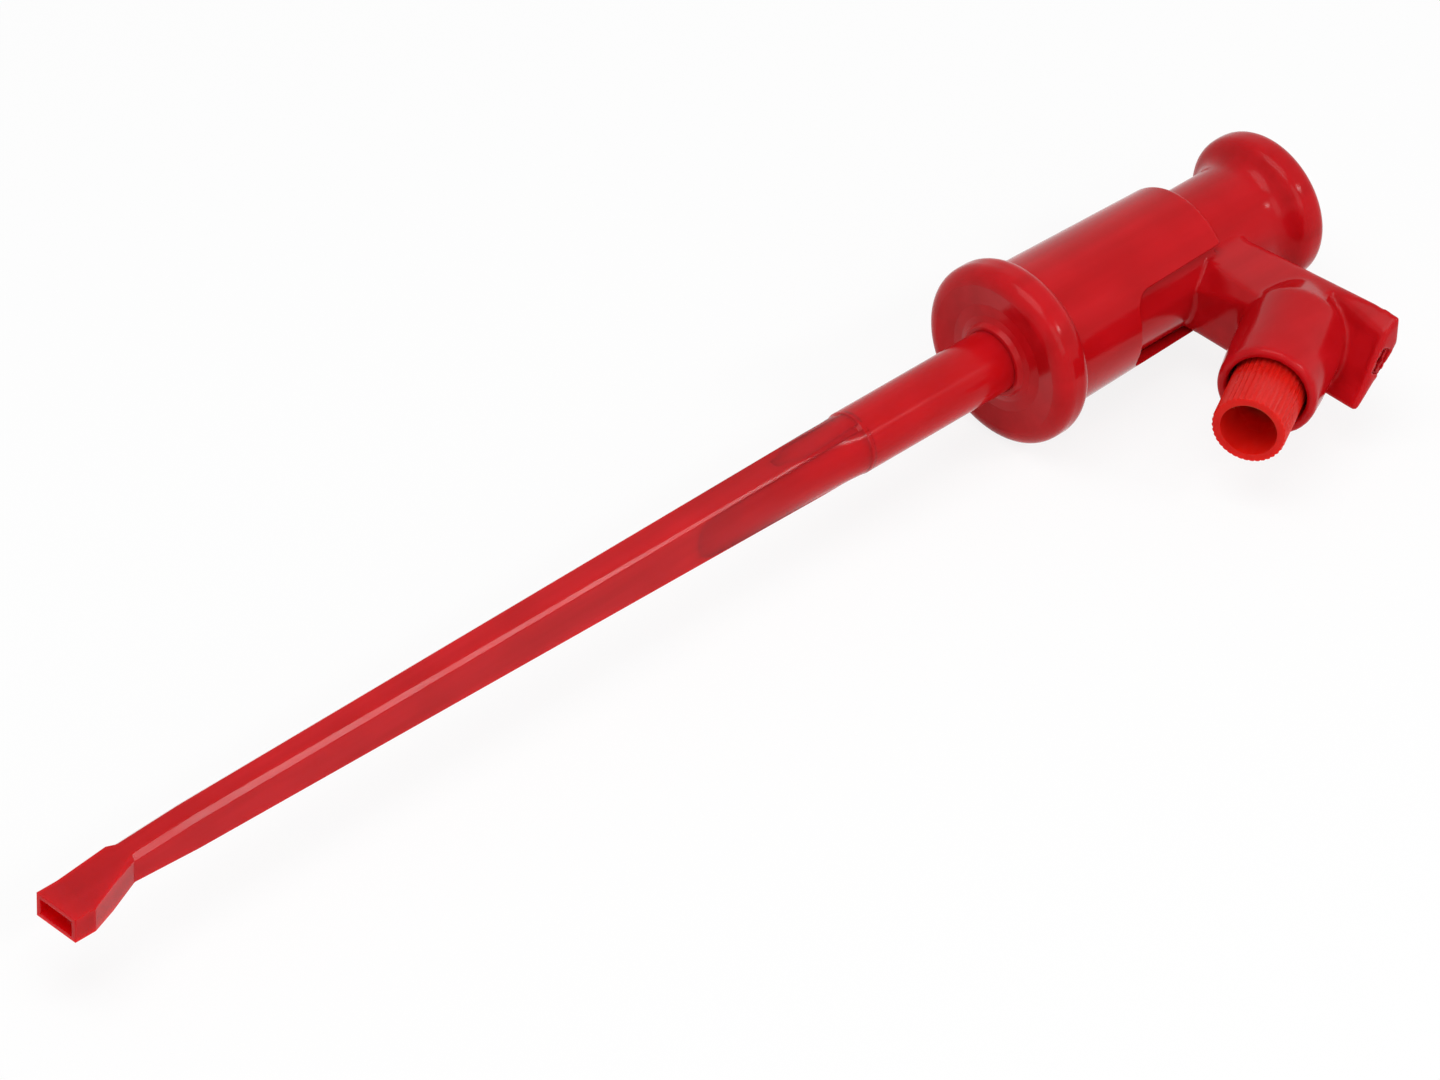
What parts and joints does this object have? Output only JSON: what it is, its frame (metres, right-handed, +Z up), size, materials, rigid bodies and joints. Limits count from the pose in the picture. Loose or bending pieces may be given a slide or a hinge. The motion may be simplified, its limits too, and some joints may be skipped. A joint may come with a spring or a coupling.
{
  "type": "grabber test hook",
  "caption": "Long-nosed spring grabber hook in red plastic, with finger flange, thumb cap and a side arm whose knurled clamp screw is a plug socket.",
  "frame": {"origin": "on the rod's axis in the plane of the bill's mouth", "axes": "+X along the nose, out of the mouth; +Y the way the side arm points; +Z up as it lies on a table"},
  "size_m": [0.1587, 0.0363, 0.0186],
  "materials": {
    "red_body": "glossy moulded plastic",
    "red_nose": "glossy moulded plastic",
    "red_plunger": "glossy moulded plastic",
    "red_plug": "glossy moulded plastic",
    "red_knurl": "satin moulded plastic",
    "rod_steel": "bright drawn wire",
    "spring_steel": "bright spring wire",
    "block_brass": "machined",
    "screw_brass": "turned",
    "pad_steel": "turned"
  },
  "bodies": {
    "grip": {"barrel": "red_body", "nose_tube": "red_nose", "return_spring": "spring_steel"},
    "slider": {"plunger": "red_plunger", "end_plug": "red_plug", "hook_rod": "rod_steel", "terminal_block": "block_brass"},
    "pad": {"pressure_pad": "pad_steel"},
    "screw": {"clamp_screw": "screw_brass", "screw_cap": "red_knurl"}
  },
  "joints": [
    {"name": "plunger_slide", "type": "slide", "parent": "grip", "child": "slider", "axis": [1, 0, 0], "range_m": [0, 0.008], "stiffness_N_per_m": 500, "springref_m": -0.004, "deforming": ["return_spring"]},
    {"name": "screw_travel", "type": "slide", "parent": "slider", "child": "pad", "axis": [0.891, 0.454, 0], "range_m": [0, 0.0028]},
    {"name": "screw_turn", "type": "hinge", "parent": "pad", "child": "screw", "pos_m": [-0.14515, 0.01595, 0], "axis": [0.891, 0.454, 0], "range_deg": [0, 1440]}
  ],
  "couplings": [
    {"joint": "screw_turn", "follows": "screw_travel", "rad_per_m": 8976}
  ]
}
